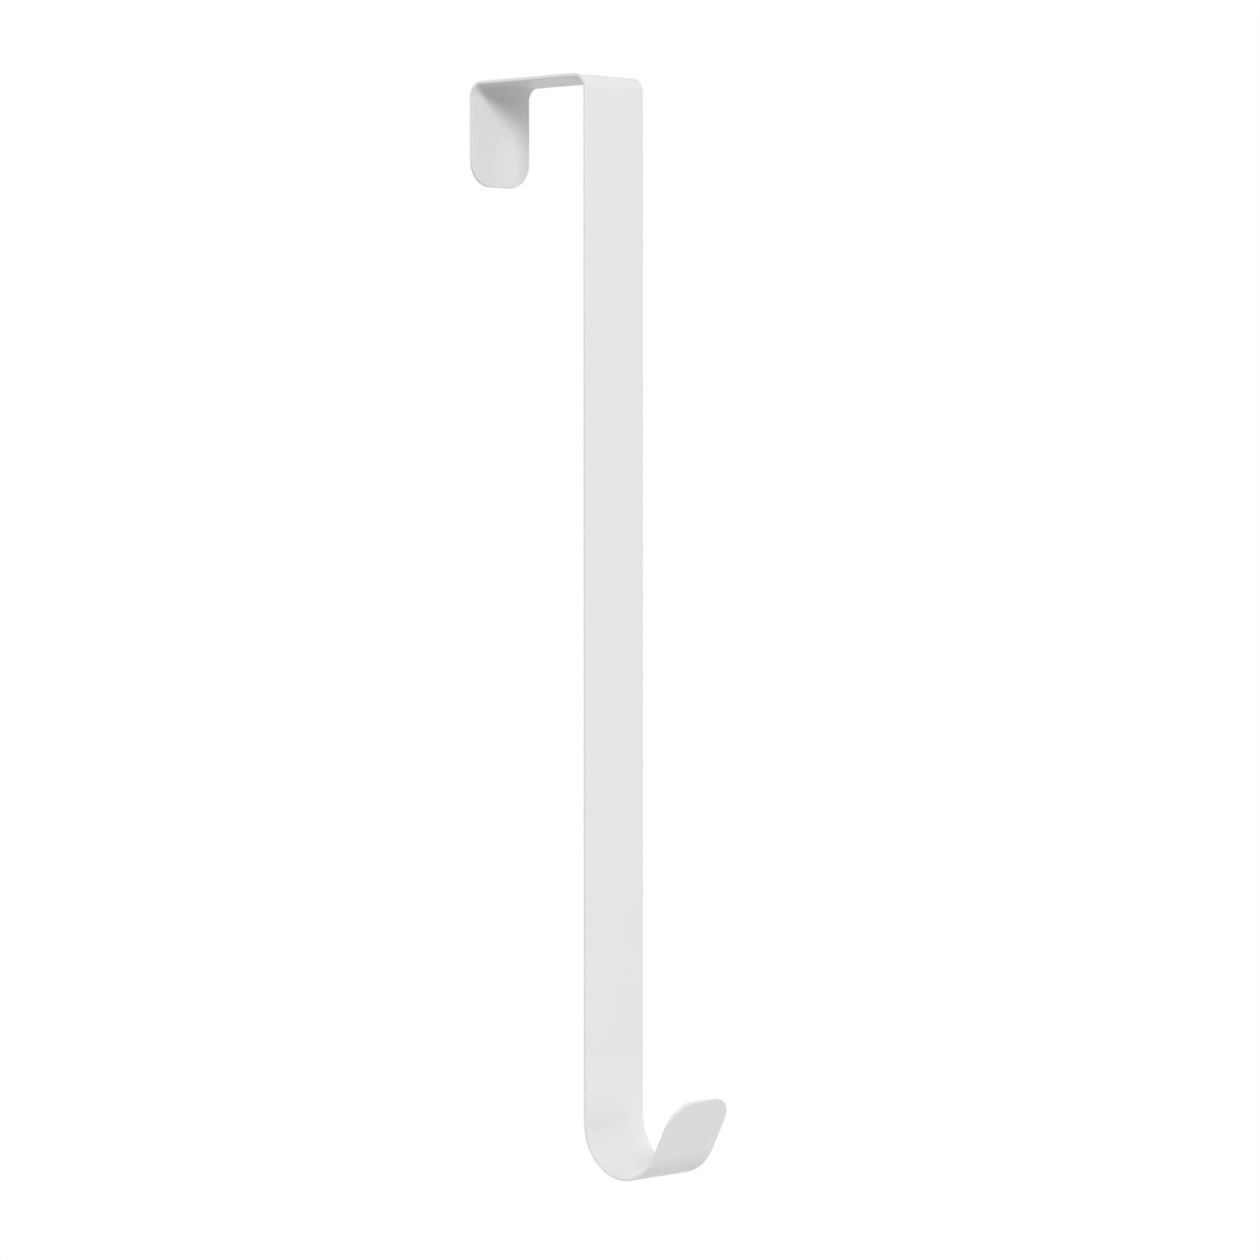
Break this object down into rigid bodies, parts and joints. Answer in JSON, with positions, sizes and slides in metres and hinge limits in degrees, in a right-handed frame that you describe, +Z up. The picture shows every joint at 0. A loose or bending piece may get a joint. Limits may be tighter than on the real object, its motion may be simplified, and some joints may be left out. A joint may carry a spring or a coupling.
{
  "type": "over-the-door wreath hanger",
  "caption": "Flat steel strip bent to a square saddle over a door's top edge, a long front leg and an open upturned hook that carries a wreath, with a smooth white coating.",
  "frame": {"origin": "centre of the saddle's underside, where it rests on the top edge of the door", "axes": "+X across the strip, -Y out from the front of the door towards the hook, +Z up"},
  "size_m": [0.0226, 0.0822, 0.305],
  "materials": {
    "white_coated_steel": "smooth white powder coat, satin"
  },
  "bodies": {
    "root": {"hanger_strip": "white_coated_steel"}
  },
  "joints": []
}
